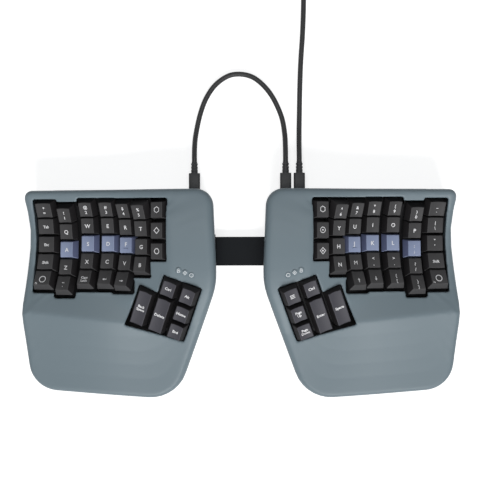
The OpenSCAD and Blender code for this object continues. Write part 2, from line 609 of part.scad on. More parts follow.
// keys of the right half by row and press direction, then of the left half
cap_dark = [0.09, 0.09, 0.1];
cap_blue = [0.52, 0.56, 0.68];
module right_row1_outer_keys() color(cap_dark) well_keys(0, [0:3]);
module right_row1_inner_keys() color(cap_dark) well_keys(0, [4:5]);
module right_row2_outer_keys() color(cap_dark) well_keys(1, [0:3]);
module right_row2_inner_keys() color(cap_dark) well_keys(1, [4:5]);
module right_row3_outer_key() color(cap_dark) well_keys(2, [0:0]);
module right_home_keys() color(cap_blue) well_keys(2, [1:3]);
module right_home_index_key() color(cap_blue) at_key(4, 2) keycap(cap_width, cap_base, true);
module right_row3_inner_key() color(cap_dark) well_keys(2, [5:5]);
module right_row4_outer_keys() color(cap_dark) well_keys(3, [0:3]);
module right_row4_inner_keys() color(cap_dark) well_keys(3, [4:5]);
module right_row5_outer_keys() color(cap_dark) well_keys(4, [0:3]);
module right_row5_inner_key() color(cap_dark) well_keys(4, [4:4]);
module right_side_keys() color(cap_dark) for (r = [0:2]) at_key(6, r) keycap(cap_width, cap_base, false);
module thumb_cap(k) at_thumb_key(k) keycap(cap_base, cap_base + (thumb_keys[k].z - 1) * pitch, false);
module right_thumb_outer_key() color(cap_dark) thumb_cap(0);
module right_thumb_middle_key() color(cap_dark) thumb_cap(1);
module right_thumb_small_keys() color(cap_dark) for (k = [2:5]) thumb_cap(k);
module left_row1_outer_keys() mirror([1, 0, 0]) right_row1_outer_keys();
module left_row1_inner_keys() mirror([1, 0, 0]) right_row1_inner_keys();
module left_row2_outer_keys() mirror([1, 0, 0]) right_row2_outer_keys();
module left_row2_inner_keys() mirror([1, 0, 0]) right_row2_inner_keys();
module left_row3_outer_key() mirror([1, 0, 0]) right_row3_outer_key();
module left_home_keys() mirror([1, 0, 0]) right_home_keys();
module left_home_index_key() mirror([1, 0, 0]) right_home_index_key();
module left_row3_inner_key() mirror([1, 0, 0]) right_row3_inner_key();
module left_row4_outer_keys() mirror([1, 0, 0]) right_row4_outer_keys();
module left_row4_inner_keys() mirror([1, 0, 0]) right_row4_inner_keys();
module left_row5_outer_keys() mirror([1, 0, 0]) right_row5_outer_keys();
module left_row5_inner_key() mirror([1, 0, 0]) right_row5_inner_key();
module left_side_keys() mirror([1, 0, 0]) right_side_keys();
module left_thumb_outer_key() mirror([1, 0, 0]) right_thumb_outer_key();
module left_thumb_middle_key() mirror([1, 0, 0]) right_thumb_middle_key();
module left_thumb_small_keys() mirror([1, 0, 0]) right_thumb_small_keys();

// cables: tubes swept along hand-set points, smoothed between them
rest_z = cable_d / 2 + 0.2;
plug_face = rear_y - 0.8;
relief_end = plug_face + plug_l + relief_l;
link_path = [[-44, relief_end + fit, socket_z], [-44, relief_end + 2.5, socket_z],
  [-44, relief_end + 5, socket_z], [-44, 144, 9], [-43, 156, 4.5], [-39, 175, rest_z],
  [-33, 191, rest_z], [-24, 204, rest_z], [-12, 212.5, rest_z], [-1, 214.5, rest_z], [10, 212.5, rest_z],
  [19, 207, rest_z], [28, 197.5, rest_z], [35, 186, rest_z], [41, 171, rest_z], [43.5, 156, 4.5],
  [44, 144, 9], [44, relief_end + 5, socket_z], [44, relief_end + 2.5, socket_z],
  [44, relief_end + fit, socket_z]];
coil_at = [102, 356];
coil_mid = 5.5 * cable_d;
coil_out = coil_mid + coil_pitch * coil_turns / 2;
coil_in = coil_out - coil_pitch * coil_turns;
coil_dip = 1.4;
coil_low = cable_d / 2 + 1.6;
coil_high = coil_low + coil_pitch;
host_path = [[57.2, relief_end + fit, socket_z], [57.2, relief_end + 2.5, socket_z],
  [57.2, relief_end + 5, socket_z], [57.3, 145, 9], [57.6, 158, 4], [58, 176, rest_z],
  [58.5, 200, rest_z], [59.5, 226, rest_z], [61.5, 256, rest_z], [62.5, 290, rest_z],
  [coil_at.x - coil_out, 325, coil_low], [coil_at.x - coil_out, coil_at.y - cable_d, coil_low]];
function catmull(a, b, c, d, t) =
  0.5 * (2 * b + (c - a) * t + (2 * a - 5 * b + 4 * c - d) * t * t + (3 * b - a - 3 * c + d) * t * t * t);
function spot(p, i) = p[min(len(p) - 1, max(0, i))];
function smooth_path(p, m) = concat(
  [for (i = [0:len(p) - 2], k = [0:m - 1]) catmull(spot(p, i - 1), p[i], p[i + 1], spot(p, i + 2), k / m)],
  [p[len(p) - 1]]);
function coil_angle(t) = 180 - 360 * t;
function coil_r(t) = t < coil_turns ? coil_out - coil_pitch * t
  : t < coil_turns + 0.5 ? coil_in - coil_dip * sin(360 * (t - coil_turns))
  : coil_in + coil_pitch * (t - coil_turns - 0.5);
function coil_z(t) = coil_low + (coil_high - coil_low) * ease((t - coil_turns) / 0.5);
coil_end = 2 * coil_turns + 0.25;
function coil_point(t) =
  [coil_at.x + coil_r(t) * cos(coil_angle(t)), coil_at.y + coil_r(t) * sin(coil_angle(t)), coil_z(t)];
coil_rings = ceil(24 * coil_end);
coil_tail = 1.2 * cable_d;
plug_z = 4.2;
function tail_point(k) =
  coil_point(coil_end) + [coil_tail * k, 0, (plug_z - coil_high) * ease((k - 1) / 5)];
coil_path = concat([coil_point(0) - [0, cable_d, 0]],
  [for (k = [0:coil_rings]) coil_point(coil_end * k / coil_rings)],
  [for (k = [1:7]) tail_point(k)]);
function heading(p, i) = unit(spot(p, i + 1) - spot(p, i - 1));
module tube(p, d, sides) {
  n = len(p);
  polyhedron(
    points = [for (i = [0:n - 1]) let (h = heading(p, i), s = unit(cross(h, [0, 0, 1])), u = cross(s, h))
      for (k = [0:sides - 1]) p[i] + d / 2 * (s * cos(360 * k / sides) + u * sin(360 * k / sides))],
    faces = concat([[for (k = [0:sides - 1]) sides - 1 - k]],
      [[for (k = [0:sides - 1]) (n - 1) * sides + k]],
      [for (i = [0:n - 2], k = [0:sides - 1]) let (j = (k + 1) % sides)
        [i * sides + k, i * sides + j, (i + 1) * sides + j]],
      [for (i = [0:n - 2], k = [0:sides - 1]) let (j = (k + 1) % sides)
        [i * sides + k, (i + 1) * sides + j, (i + 1) * sides + k]]),
    convexity = 10);
}
// least clear distance between turns that lie next to one another
coil_gap = min([for (i = [0:len(coil_path) - 1], j = [i + 12:len(coil_path) - 1]) if (j < len(coil_path))
  norm(coil_path[i] - coil_path[j])]) - cable_d;
echo(coil_gap = coil_gap);

module link_cable() color([0.04, 0.04, 0.045]) tube(smooth_path(link_path, 3), cable_d, 10);
module host_cable() color([0.04, 0.04, 0.045]) tube(smooth_path(host_path, 4), cable_d, 10);
module host_coil() color([0.04, 0.04, 0.045]) tube(coil_path, cable_d, 6);
module plug(x) translate([x, plug_face, socket_z]) {
  difference() {
    translate([-plug_w / 2, 0, -plug_h / 2]) cube([plug_w, plug_l, plug_h]);
    for (a = [-1, 1], b = [-1, 1]) translate([a * plug_w / 2, 0, b * plug_h / 2]) rotate([0, 45, 0])
      cube([1.6, 3 * plug_l, 1.6], center = true);
  }
  translate([-4.15, -6.4, -1.25]) cube([8.3, 6.4 + eps, 2.5]);
  rotate([-90, 0, 0]) {
    translate([0, 0, plug_l - eps]) cylinder(d1 = cable_d + 1.2, d2 = cable_d + 0.4, h = relief_l);
    for (k = [0:2]) translate([0, 0, plug_l + 2 + 3 * k]) cylinder(d = cable_d + 1.6, h = 1.5);
  }
}
module link_plugs() color([0.04, 0.04, 0.045]) {
  plug(-socket_x[0]);
  plug(socket_x[0]);
}
module host_plug() color([0.04, 0.04, 0.045]) plug(socket_x[1]);
module computer_plug() color([0.04, 0.04, 0.045])
  translate(coil_path[len(coil_path) - 1]) rotate([0, 0, 90]) {
  rotate([90, 0, 0]) cylinder(d1 = cable_d + 0.4, d2 = cable_d + 1.4, h = 8);
  translate([-8, -33, -4]) cube([16, 25 + eps, 8]);
  difference() {
    translate([-6, -51.6, -2.25]) cube([12, 18.6 + eps, 4.5]);
    translate([-5.7, -52, -1.95]) cube([11.4, 17, 3.9]);
  }
  translate([-5.5, -50.6, -1.8]) cube([11, 18, 1.6]);
}
module coil_tie() color([0.05, 0.05, 0.05]) translate([coil_at.x, coil_at.y, 0]) {
  r0 = sqrt(pow(coil_in - cable_d / 2, 2) - 36) - 0.4;
  r1 = coil_out + cable_d / 2 + 0.4;
  z1 = coil_high + cable_d / 2 + 0.3;
  difference() {
    translate([-6, r0 - 1.2, 0.1]) cube([12, r1 - r0 + 2.4, z1 + 1.1]);
    translate([-7, r0, 1.3]) cube([14, r1 - r0, z1 - 1.3]);
  }
}

left_top_case();
right_top_case();
left_bottom_case();
right_bottom_case();
left_key_well();
right_key_well();
left_thumb_plate();
right_thumb_plate();
key_switches();
circuit_boards();
usb_sockets();
indicator_lenses();
rubber_feet();
case_screws();
bridge_plate();
bridge_screws();
tent_hinge_pins();
link_cable();
link_plugs();
host_cable();
host_coil();
host_plug();
computer_plug();
coil_tie();
left_tent_leg();
right_tent_leg();
left_tent_button();
right_tent_button();
left_row1_outer_keys();
left_row1_inner_keys();
left_row2_outer_keys();
left_row2_inner_keys();
left_row3_outer_key();
left_home_keys();
left_home_index_key();
left_row3_inner_key();
left_row4_outer_keys();
left_row4_inner_keys();
left_row5_outer_keys();
left_row5_inner_key();
left_side_keys();
left_thumb_outer_key();
left_thumb_middle_key();
left_thumb_small_keys();
right_row1_outer_keys();
right_row1_inner_keys();
right_row2_outer_keys();
right_row2_inner_keys();
right_row3_outer_key();
right_home_keys();
right_home_index_key();
right_row3_inner_key();
right_row4_outer_keys();
right_row4_inner_keys();
right_row5_outer_keys();
right_row5_inner_key();
right_side_keys();
right_thumb_outer_key();
right_thumb_middle_key();
right_thumb_small_keys();
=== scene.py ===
import math
import bpy
import bmesh
from mathutils import Matrix, Vector


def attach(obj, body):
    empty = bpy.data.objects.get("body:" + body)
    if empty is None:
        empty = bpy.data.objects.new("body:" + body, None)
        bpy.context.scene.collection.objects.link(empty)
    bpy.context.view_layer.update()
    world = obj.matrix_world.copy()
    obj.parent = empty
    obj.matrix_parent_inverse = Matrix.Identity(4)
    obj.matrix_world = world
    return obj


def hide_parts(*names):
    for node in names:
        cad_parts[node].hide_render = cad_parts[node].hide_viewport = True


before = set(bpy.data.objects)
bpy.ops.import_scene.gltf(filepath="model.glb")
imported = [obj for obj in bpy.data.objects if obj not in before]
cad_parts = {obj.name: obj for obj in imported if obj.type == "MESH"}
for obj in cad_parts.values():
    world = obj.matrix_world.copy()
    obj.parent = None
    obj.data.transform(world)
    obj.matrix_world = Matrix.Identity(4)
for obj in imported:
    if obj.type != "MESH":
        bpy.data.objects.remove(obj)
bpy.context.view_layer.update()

mm = 0.001

# Photographer's stand: a camera straight above the desk, a hair off level,
# about as far away as a product shot of a keyboard is taken.
camera_data = bpy.data.cameras.new("overhead_camera")
camera_data.sensor_width = 36
camera_data.lens = 68.85
camera = bpy.data.objects.new("overhead_camera", camera_data)
camera.location = (14.4 * mm, 52.3 * mm, 899.9 * mm)
camera.rotation_euler = (0, 0.0165, -0.0035)
bpy.context.collection.objects.link(camera)
bpy.context.scene.camera = camera
bpy.context.scene.view_settings.view_transform = "Standard"

# Studio light: a white room, a broad softbox far in front of the desk and a
# faint one overhead that fills the key wells.
room_tint, room_strength = (0.93, 0.97, 1.0, 1), 0.16
paper_tint, paper_strength = (1, 1, 1, 1), 1.0


def any_ray(tree, *kinds):
    """A value that is 1 for a ray of any of these kinds."""
    path = tree.nodes.new("ShaderNodeLightPath")
    found = path.outputs[kinds[0]]
    for kind in kinds[1:]:
        either = tree.nodes.new("ShaderNodeMath")
        either.operation = "MAXIMUM"
        tree.links.new(found, either.inputs[0])
        tree.links.new(path.outputs[kind], either.inputs[1])
        found = either.outputs[0]
    return found


world = bpy.data.worlds.new("white_room")
bpy.context.scene.world = world
world.use_nodes = True
nodes = world.node_tree.nodes
links = world.node_tree.links
nodes.clear()
seen = any_ray(world.node_tree, "Is Camera Ray", "Is Glossy Ray", "Is Transmission Ray")
room = nodes.new("ShaderNodeBackground")
room.inputs["Color"].default_value = room_tint
room.inputs["Strength"].default_value = room_strength
paper = nodes.new("ShaderNodeBackground")
paper.inputs["Color"].default_value = paper_tint
paper.inputs["Strength"].default_value = paper_strength
pick = nodes.new("ShaderNodeMixShader")
links.new(seen, pick.inputs["Fac"])
links.new(room.outputs[0], pick.inputs[1])
links.new(paper.outputs[0], pick.inputs[2])
links.new(pick.outputs[0], nodes.new("ShaderNodeOutputWorld").inputs["Surface"])


def softbox(name, place, size, watts):
    """A rectangular lamp that looks at the middle of the desk."""
    lamp = bpy.data.lights.new(name, "AREA")
    lamp.shape = "RECTANGLE"
    lamp.size, lamp.size_y = size
    lamp.energy = watts
    stand = bpy.data.objects.new(name, lamp)
    stand.location = place
    aim = Vector((0, 0, 0)) - Vector(place)
    stand.rotation_euler = aim.to_track_quat("-Z", "Y").to_euler()
    bpy.context.collection.objects.link(stand)


softbox("front_softbox", (0.3, -2.0, 1.8), (1.6, 0.9), 53)
softbox("top_softbox", (0.0, 0.2, 1.0), (0.5, 0.3), 2)

# Desk: a white sweep that keeps a soft contact shadow and reads as plain
# paper to the camera.
desk_half = 4
desk_drop = 0.1 * mm
desk_tone = (0.8, 0.8, 0.8, 1)
desk_glow = 0.7
bm = bmesh.new()
bmesh.ops.create_grid(bm, x_segments=1, y_segments=1, size=desk_half)
bmesh.ops.translate(bm, vec=(0, 0, -desk_drop), verts=bm.verts)
desk_mesh = bpy.data.meshes.new("desk")
bm.to_mesh(desk_mesh)
bm.free()
desk = bpy.data.objects.new("desk", desk_mesh)
bpy.context.collection.objects.link(desk)
desk_paper = bpy.data.materials.new("desk_paper")
desk_paper.use_nodes = True
nodes = desk_paper.node_tree.nodes
links = desk_paper.node_tree.links
nodes.clear()
seen = nodes.new("ShaderNodeMath")
seen.operation = "MULTIPLY"
seen.inputs[1].default_value = desk_glow
links.new(any_ray(desk_paper.node_tree, "Is Camera Ray", "Is Glossy Ray"), seen.inputs[0])
matt = nodes.new("ShaderNodeBsdfDiffuse")
matt.inputs["Color"].default_value = desk_tone
glow = nodes.new("ShaderNodeEmission")
links.new(seen.outputs[0], glow.inputs["Strength"])
both = nodes.new("ShaderNodeAddShader")
links.new(matt.outputs[0], both.inputs[0])
links.new(glow.outputs[0], both.inputs[1])
links.new(both.outputs[0], nodes.new("ShaderNodeOutputMaterial").inputs["Surface"])
desk_mesh.materials.append(desk_paper)

# Top cases: satin grey-blue painted plastic shells, each one moulding with a
# concave key well, a thumb opening and a palm rest, softly rounded at its cuts.
skin_step = 0.98 * mm
sharp_turn = math.radians(20)
calm_above = 34 * mm
calm_rings, calm_passes = 2, 14


def grain_group():
    """Moulded plastic: a fine grain and a broad, faint change of tone."""
    group = bpy.data.node_groups.new("moulded_grain", "ShaderNodeTree")
    for name, kind, value in (
        ("Tone", "NodeSocketColor", (0.2, 0.2, 0.2, 1)),
        ("Tone Change", "NodeSocketFloat", 0.06),
        ("Roughness", "NodeSocketFloat", 0.5),
        ("Roughness Change", "NodeSocketFloat", 0.1),
        ("Grain Scale", "NodeSocketFloat", 1800.0),
    ):
        socket = group.interface.new_socket(name=name, in_out="INPUT", socket_type=kind)
        socket.default_value = value
    for name, kind in (
        ("Color", "NodeSocketColor"),
        ("Roughness", "NodeSocketFloat"),
        ("Height", "NodeSocketFloat"),
    ):
        group.interface.new_socket(name=name, in_out="OUTPUT", socket_type=kind)
    nodes = group.nodes
    links = group.links
    enter = nodes.new("NodeGroupInput")
    leave = nodes.new("NodeGroupOutput")
    where = nodes.new("ShaderNodeTexCoord")
    fine = nodes.new("ShaderNodeTexNoise")
    fine.inputs["Detail"].default_value = 3
    links.new(where.outputs["Object"], fine.inputs["Vector"])
    links.new(enter.outputs["Grain Scale"], fine.inputs["Scale"])
    broad = nodes.new("ShaderNodeTexNoise")
    broad.inputs["Scale"].default_value = 14
    broad.inputs["Detail"].default_value = 2
    links.new(where.outputs["Object"], broad.inputs["Vector"])
    mixed = nodes.new("ShaderNodeMath")
    mixed.operation = "ADD"
    links.new(fine.outputs["Fac"], mixed.inputs[0])
    links.new(broad.outputs["Fac"], mixed.inputs[1])
    centred = nodes.new("ShaderNodeMath")
    centred.operation = "SUBTRACT"
    centred.inputs[1].default_value = 1.0
    links.new(mixed.outputs[0], centred.inputs[0])
    tone = nodes.new("ShaderNodeMath")
    tone.operation = "MULTIPLY_ADD"
    tone.inputs[2].default_value = 1.0
    links.new(centred.outputs[0], tone.inputs[0])
    links.new(enter.outputs["Tone Change"], tone.inputs[1])
    paint = nodes.new("ShaderNodeVectorMath")
    paint.operation = "SCALE"
    links.new(enter.outputs["Tone"], paint.inputs[0])
    links.new(tone.outputs[0], paint.inputs["Scale"])
    links.new(paint.outputs[0], leave.inputs["Color"])
    rough = nodes.new("ShaderNodeMath")
    rough.operation = "MULTIPLY_ADD"
    links.new(centred.outputs[0], rough.inputs[0])
    links.new(enter.outputs["Roughness Change"], rough.inputs[1])
    links.new(enter.outputs["Roughness"], rough.inputs[2])
    links.new(rough.outputs[0], leave.inputs["Roughness"])
    links.new(fine.outputs["Fac"], leave.inputs["Height"])
    return group


moulded_grain = grain_group()


def plastic(name, tone, roughness, grain=1800.0, change=0.06, depth=0.03, specular=0.5, metal=0.0):
    """A grained finish of one colour, on plastic unless it is all metal."""
    finish = bpy.data.materials.new(name)
    finish.use_nodes = True
    nodes = finish.node_tree.nodes
    links = finish.node_tree.links
    shader = nodes["Principled BSDF"]
    shader.inputs["Specular IOR Level"].default_value = specular
    shader.inputs["Metallic"].default_value = metal
    grained = nodes.new("ShaderNodeGroup")
    grained.node_tree = moulded_grain
    grained.inputs["Tone"].default_value = (*tone, 1)
    grained.inputs["Tone Change"].default_value = change
    grained.inputs["Roughness"].default_value = roughness
    grained.inputs["Grain Scale"].default_value = grain
    links.new(grained.outputs["Color"], shader.inputs["Base Color"])
    links.new(grained.outputs["Roughness"], shader.inputs["Roughness"])
    bump = nodes.new("ShaderNodeBump")
    bump.inputs["Strength"].default_value = 0.35
    bump.inputs["Distance"].default_value = depth * mm
    links.new(grained.outputs["Height"], bump.inputs["Height"])
    links.new(bump.outputs["Normal"], shader.inputs["Normal"])
    return finish


case_paint = plastic(
    "case_paint", (0.158, 0.206, 0.234), 0.46, grain=2600.0, change=0.03, depth=0.02, specular=0.4
)


def merged(node):
    """A CAD node's mesh, copied, with its loose triangles joined."""
    bm = bmesh.new()
    bm.from_mesh(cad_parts[node].data)
    bmesh.ops.remove_doubles(bm, verts=bm.verts, dist=0.01 * mm)
    return bm


def moulded_shell(name):
    """A CAD shell as it leaves its mould: an even skin, eased at its edges."""
    bm = merged(name)
    rough = bpy.data.meshes.new(name + "_rough")
    bm.to_mesh(rough)
    bm.free()
    shell = bpy.data.objects.new(name + "_shell", rough)
    bpy.context.collection.objects.link(shell)
    skin = shell.modifiers.new("skin", "REMESH")
    skin.mode = "VOXEL"
    skin.voxel_size = skin_step
    skin.use_smooth_shade = True
    ease = shell.modifiers.new("ease", "SMOOTH")
    ease.factor = 0.5
    ease.iterations = 2
    skinned = shell.evaluated_get(bpy.context.evaluated_depsgraph_get())
    moulded = bpy.data.meshes.new_from_object(skinned)
    shell.modifiers.clear()
    shell.data = moulded
    bm = bmesh.new()
    bm.from_mesh(moulded)
    sharp = {v for e in bm.edges if e.calc_face_angle(0) > sharp_turn for v in e.verts}
    for _ in range(calm_rings):
        sharp |= {e.other_vert(v) for v in sharp for e in v.link_edges}
    calm = [v for v in bm.verts if v.co.z > calm_above and v not in sharp]
    for _ in range(calm_passes):
        bmesh.ops.smooth_vert(
            bm, verts=calm, factor=0.5, use_axis_x=True, use_axis_y=True, use_axis_z=True
        )
    bm.to_mesh(moulded)
    bm.free()
    moulded.materials.clear()
    moulded.materials.append(case_paint)
    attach(shell, "keyboard")
    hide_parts(name)


for side in ("left", "right"):
    moulded_shell(side + "_top_case")

# Bottom cases: black moulded trays with a fine spark grain, screwed to the
# top cases from below; the tent legs fold into their floors.
tray_black = plastic(
    "tray_black", (0.02, 0.02, 0.022), 0.55, grain=1500.0, change=0.2, depth=0.05, specular=0.3
)
crease_angle = math.radians(32)
eased_angle = math.radians(40)


def dress(name, finish, eased=0.0):
    """Finish a CAD solid: its paint, eased edges, smooth faces between creases."""
    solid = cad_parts[name]
    solid.data.materials.clear()
    solid.data.materials.append(finish)
    for face in solid.data.polygons:
        face.use_smooth = True
    weld = solid.modifiers.new("weld", "WELD")
    weld.merge_threshold = 0.02 * mm
    if eased:
        edges = solid.modifiers.new("eased_edges", "BEVEL")
        edges.width = eased * mm
        edges.segments = 2
        edges.limit_method = "ANGLE"
        edges.angle_limit = eased_angle
    crease = solid.modifiers.new("creases", "EDGE_SPLIT")
    crease.split_angle = crease_angle


for side in ("left", "right"):
    dress(side + "_bottom_case", tray_black)

# Key wells and thumb plates: black mouldings that carry the switches and are
# seen only as dark gaps between the caps.
well_black = plastic("well_black", (0.009, 0.009, 0.01), 0.5, change=0.2, specular=0.15)
for side in ("left", "right"):
    dress(side + "_key_well", well_black)
    dress(side + "_thumb_plate", well_black)

# Key switches: black nylon housings, one under every cap, snapped into the
# holes of the wells and thumb plates.
switch_nylon = plastic("switch_nylon", (0.014, 0.014, 0.015), 0.42, change=0.15, specular=0.2)
dress("key_switches", switch_nylon)

# Keycaps: sculpted charcoal plastic caps with a finger dish, pushed onto the
# switch stems; the home row is moulded in lavender blue, with white legends.
# Their side and rear flanks take a darker copy of the cap colour as painted shade.
pitch = 19.05
row_pitch, side_pitch = pitch + 0.35, pitch + 0.25
cap_w, wide_w, cap_h = 17.4, 20.6, 8.5
skirt = 5.0
cap_top = skirt + cap_h
taper, front_taper, long_taper = 5.0, 3.0, 2.2
dish_deep, dish_r = 0.9, 26.0
dish_cuts = 10
cap_wall, hollow, hollow_taper = 1.3, 6.0, (0.8, 0.85, 1)
cap_edge, cap_edge_angle = 0.6, math.radians(24)
stem_size, stem_z = (6.4, 5.6, 11.0), 6.1
bar_size, bar_y, bar_sunk, bar_edge = (4.0, 0.8, 0.9), 5.0, 0.75, 0.25
letter_size, pair_size, small_size, tight_size = 5.2, 4.2, 3.7, 3.3
pair_half = 2.6
ink_lift = 0.04
fine_crease = math.radians(35)
columns = (
    (182.0, 48.5, 13.5, 13),
    (162.4, 43.5, 15.0, 13),
    (142.2, 49.0, 14.5, 13),
    (122.8, 49.0, 15.5, 13),
    (103.6, 47.5, 20.0, 21),
    (88.0, 46.0, 28.8, 21),
    (71.5, 61.5, 36.3, 27),
)
side_column = 6
home_row, index_column = 2, 4
row_lean = (25, 9, -2, -15, -28)
thumb_x, thumb_y, thumb_z = 70.0, -6.4, 32.4
thumb_turn, thumb_tip, thumb_lean = 20, 20, 5


def cap_finish(top, top_tone, shaded_flank, painted_shade_tone, roughness, change, specular):
    """The two finishes of a cap: its top, and for its flanks a copy with a coarser grain whose
    darker tone is painted shade.
    """
    return (
        plastic(
            top, top_tone, roughness[0], grain=2200.0, change=change[0], depth=0.04,
            specular=specular[0],
        ),
        plastic(
            shaded_flank, painted_shade_tone, roughness[1], grain=1500.0, change=change[1], depth=0.05,
            specular=specular[1],
        ),
    )


# Each cap colour comes twice: as it is, and as a darker flank copy that paints the shade of the
# side and rear flanks.
charcoal = cap_finish(
    "charcoal_top", (0.056, 0.055, 0.057), "charcoal_painted_shade_flank", (0.016, 0.015, 0.016),
    roughness=(0.52, 0.5), change=(0.12, 0.2), specular=(0.2, 0.12),
)
lavender = cap_finish(
    "lavender_top", (0.27, 0.32, 0.47), "lavender_painted_shade_flank", (0.12, 0.14, 0.24),
    roughness=(0.5, 0.5), change=(0.06, 0.12), specular=(0.35, 0.2),
)
thumb_grey = (
    plastic(
        "thumb_grey_top", (0.054, 0.053, 0.064), 0.52, grain=2200.0, change=0.12, depth=0.04,
        specular=0.25,
    ),
    charcoal[1],
)
legend_ink = plastic("legend_ink", (0.9, 0.9, 0.91), 0.6, change=0.05)


def box(bm, size, middle):
    """The vertices of a new box of this size round a middle."""
    verts = bmesh.ops.create_cube(bm, size=1)["verts"]
    bmesh.ops.scale(bm, vec=size, verts=verts)
    bmesh.ops.translate(bm, vec=middle, verts=verts)
    return verts


def soften(bm, edges, size, segments, clamp=False):
    """Edges rounded to one size."""
    return bmesh.ops.bevel(
        bm, geom=edges, offset=size, offset_type="OFFSET", segments=segments, profile=0.5,
        affect="EDGES", material=-1, clamp_overlap=clamp,
    )


def shade(bm, crease):
    """Smooth faces, apart from edges that turn by more than the crease."""
    for face in bm.faces:
        face.smooth = True
    for edge in bm.edges:
        edge.smooth = edge.calc_face_angle(0) < crease


def put(bm, form, place):
    """A copy of a mesh, at its place."""
    start = len(bm.verts)
    bm.from_mesh(form)
    bm.verts.ensure_lookup_table()
    bmesh.ops.transform(bm, matrix=place, verts=bm.verts[start:])


def as_mesh(name, bm):
    """A finished shape as a mesh."""
    mesh = bpy.data.meshes.new(name)
    bm.to_mesh(mesh)
    bm.free()
    return mesh


def add_piece(name, bm, finishes, body, node):
    """A finished shape as a piece on its body, in place of a CAD node."""
    mesh = as_mesh(name, bm)
    for finish in finishes:
        mesh.materials.append(finish)
    piece = bpy.data.objects.new(name, mesh)
    bpy.context.collection.objects.link(piece)
    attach(piece, body)
    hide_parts(node)
    return piece


def row_place(row):
    """Front to rear place and height of a row, from the home row."""
    y = z = 0.0
    step = 1 if row > home_row else -1
    for r in range(home_row, row, step):
        chord = math.radians((row_lean[r] + row_lean[r + step]) / 2)
        y -= step * row_pitch * math.cos(chord)
        z -= step * row_pitch * math.sin(chord)
    return y, z


def well_place(hand, column, row):
    """Where the plate under a key of the well is, and how it leans."""
    x, y, z, lean = columns[column]
    if column == side_column:
        along, up, tip = (1 - row) * side_pitch, 0.0, 0.0
    else:
        (along, up), tip = row_place(row), row_lean[row]
    return (
        Matrix.Translation((hand * x, y, z))
        @ Matrix.Rotation(hand * math.radians(lean), 4, "Y")
        @ Matrix.Translation((0, along, up))
        @ Matrix.Rotation(math.radians(tip), 4, "X")
    )


def thumb_place(hand, across, along):
    """Where the plate under a key of the thumb cluster is."""
    return (
        Matrix.Translation((hand * thumb_x, thumb_y, thumb_z))
        @ Matrix.Rotation(hand * math.radians(thumb_turn), 4, "Z")
        @ Matrix.Rotation(math.radians(thumb_tip), 4, "X")
        @ Matrix.Rotation(hand * math.radians(thumb_lean), 4, "Y")
        @ Matrix.Translation((hand * across * pitch, along * pitch, 0))
    )


def dish(x, width):
    """Height of the finger dish across a cap."""
    radius = dish_r * (width - taper) / (cap_w - taper)
    return cap_top - dish_deep + radius - math.sqrt(radius * radius - x * x)


def cap_form(width, length, draw, bump=False):
    """One hollow cap with its stem, dished across, rounded at its edges."""
    bm = bmesh.new()
    box(bm, (width, length, cap_h), (0, 0, skirt + cap_h / 2))
    upper = [v for v in bm.verts if v.co.z > skirt + 1]
    narrowed = ((width - taper) / width, (length - draw) / length, 1)
    bmesh.ops.scale(bm, vec=narrowed, verts=upper)
    under = [f for f in bm.faces if f.normal.z < -0.9]
    bmesh.ops.inset_region(bm, faces=under, thickness=cap_wall, depth=0)
    bmesh.ops.translate(bm, vec=(0, 0, hollow), verts=under[0].verts)
    bmesh.ops.scale(bm, vec=hollow_taper, verts=under[0].verts)
    for k in range(1 - dish_cuts // 2, dish_cuts // 2):
        geom = bm.verts[:] + bm.edges[:] + bm.faces[:]
        spot = (k * (width - taper) / dish_cuts, 0, 0)
        bmesh.ops.bisect_plane(bm, geom=geom, plane_co=spot, plane_no=(1, 0, 0))
    for v in bm.verts:
        if v.co.z > cap_top - 0.001:
            v.co.z = dish(v.co.x, width)
    bm.normal_update()
    edges = [
        e
        for e in bm.edges
        if len(e.link_faces) == 2
        and e.calc_face_angle(0) > cap_edge_angle
        and max(v.co.z for v in e.verts) > cap_top - 2 * cap_edge
    ]
    soften(bm, edges, cap_edge, 3, clamp=True)
    box(bm, stem_size, (0, 0, stem_z))
    if bump:
        bar_z = cap_top - bar_sunk
        bar = box(bm, bar_size, (0, -length / 2 + bar_y, bar_z))
        bar_edges = dict.fromkeys(e for v in bar for e in v.link_edges)
        soften(bm, [e for e in bar_edges if min(v.co.z for v in e.verts) > bar_z], bar_edge, 2)
    bm.normal_update()
    # Faces turned up or to the front, where the light falls, keep the cap colour; the side and
    # rear flanks take the darker copy, painted shade.
    for face in bm.faces:
        lit_side = face.normal.z > 0.75 or face.normal.y < -0.5
        face.material_index = 0 if lit_side else 2
    shade(bm, fine_crease)
    return as_mesh("cap_form", bm)


cap_forms = {
    "single": (cap_form(cap_w, cap_w, front_taper), cap_w),
    "wide": (cap_form(wide_w, cap_w, front_taper), wide_w),
    "home": (cap_form(cap_w, cap_w, front_taper, bump=True), cap_w),
    "long": (cap_form(cap_w, cap_w + pitch, long_taper), cap_w),
}


def word(text, size, y=0.0, x=0.0):
    """A printed word as a flat mesh, centred on a point of the cap."""
    letters = bpy.data.curves.new("letters", "FONT")
    letters.body = text
    letters.size = size
    letters.align_x = "CENTER"
    letters.align_y = "CENTER"
    letters.space_line = 0.95
    # A fattened M fills up at its narrow corners, so it stays as it is.
    letters.offset = 0.0 if "M" in text else 0.09
    letters.resolution_u = 3
    shape = bpy.data.objects.new("letters", letters)
    flat = bpy.data.meshes.new_from_object(shape)
    bpy.data.objects.remove(shape)
    flat.transform(Matrix.Translation((x, y, 0)))
    return flat


